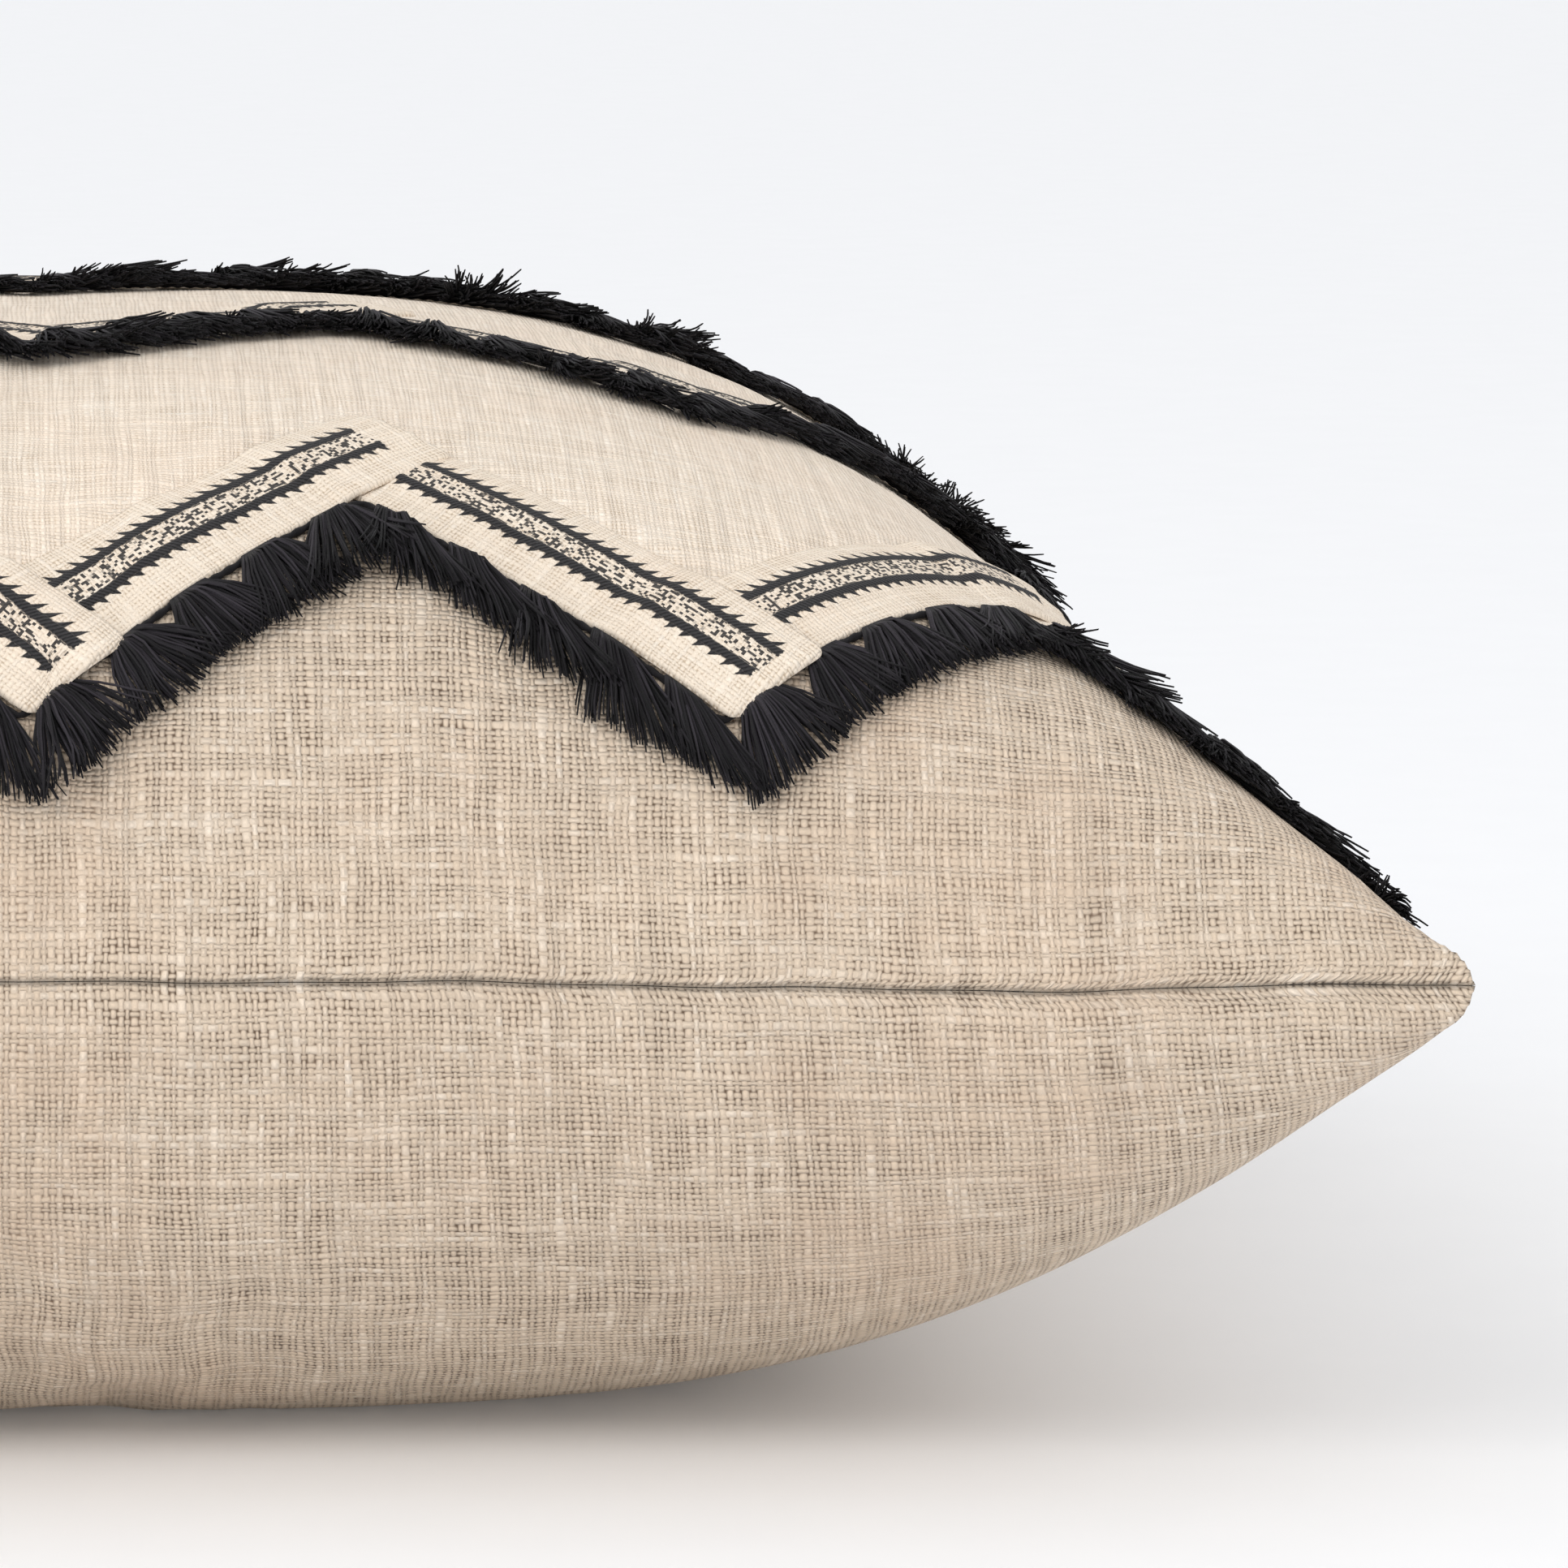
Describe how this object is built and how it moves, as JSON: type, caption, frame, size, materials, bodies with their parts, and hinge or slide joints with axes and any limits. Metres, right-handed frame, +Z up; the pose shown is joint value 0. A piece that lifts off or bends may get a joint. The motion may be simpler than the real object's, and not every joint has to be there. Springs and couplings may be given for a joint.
{
  "type": "throw pillow",
  "caption": "Square knife-edge throw pillow with a cream overlay, rows of zigzag patterned tape with black tassels, a zipped linen-weave cover and a fibre-filled insert.",
  "frame": {"origin": "centre of the underside, where the pillow rests", "axes": "+Z up out of the decorated face, -Y towards the front seam that the picture faces, +Y towards the zipped side, X along both"},
  "size_m": [0.49, 0.49, 0.1947],
  "materials": {
    "natural_weave": "coarse slubbed plain weave, matte",
    "cream_weave": "fine plain weave, matte",
    "patterned_tape": "woven black and cream pattern, matte",
    "black_cotton": "twisted cotton thread, matte",
    "insert_cloth": "fine plain cloth, matte",
    "fibre": "loose polyester fibre, soft",
    "zip_tape": "herringbone woven tape, matte",
    "zip_coil": "nylon coil, satin",
    "zip_metal": "antique plated, satin",
    "label_satin": "woven satin, blank"
  },
  "bodies": {
    "cover": {"front_panel": "natural_weave", "back_panel": "natural_weave", "overlay_panel": "cream_weave", "zigzag_tape_1": "patterned_tape", "zigzag_tape_2": "patterned_tape", "zigzag_tape_3": "patterned_tape", "zigzag_tape_4": "patterned_tape", "fringe_header_1": "black_cotton", "fringe_header_2": "black_cotton", "fringe_header_3": "black_cotton", "fringe_header_4": "black_cotton", "tassels_1": "black_cotton", "tassels_2": "black_cotton", "tassels_3": "black_cotton", "tassels_4": "black_cotton", "insert_top_panel": "insert_cloth", "insert_bottom_panel": "insert_cloth", "fibre_fill": "fibre", "zip_tape_upper": "zip_tape", "zip_tape_lower": "zip_tape", "zip_coil_upper": "zip_coil", "zip_coil_lower": "zip_coil", "zip_top_stop": "zip_metal", "zip_bottom_stop": "zip_metal", "care_label": "label_satin"},
    "slider": {"zip_slider": "zip_metal"},
    "pull": {"zip_pull": "zip_metal"}
  },
  "joints": [
    {"name": "zip_slide", "type": "slide", "parent": "cover", "child": "slider", "axis": [-1, 0, 0], "range_m": [0, 0.3]},
    {"name": "pull_hinge", "type": "hinge", "parent": "slider", "child": "pull", "pos_m": [0.15, 0.2325, 0.091], "axis": [0, 0, -1], "range_deg": [0, 170]}
  ]
}
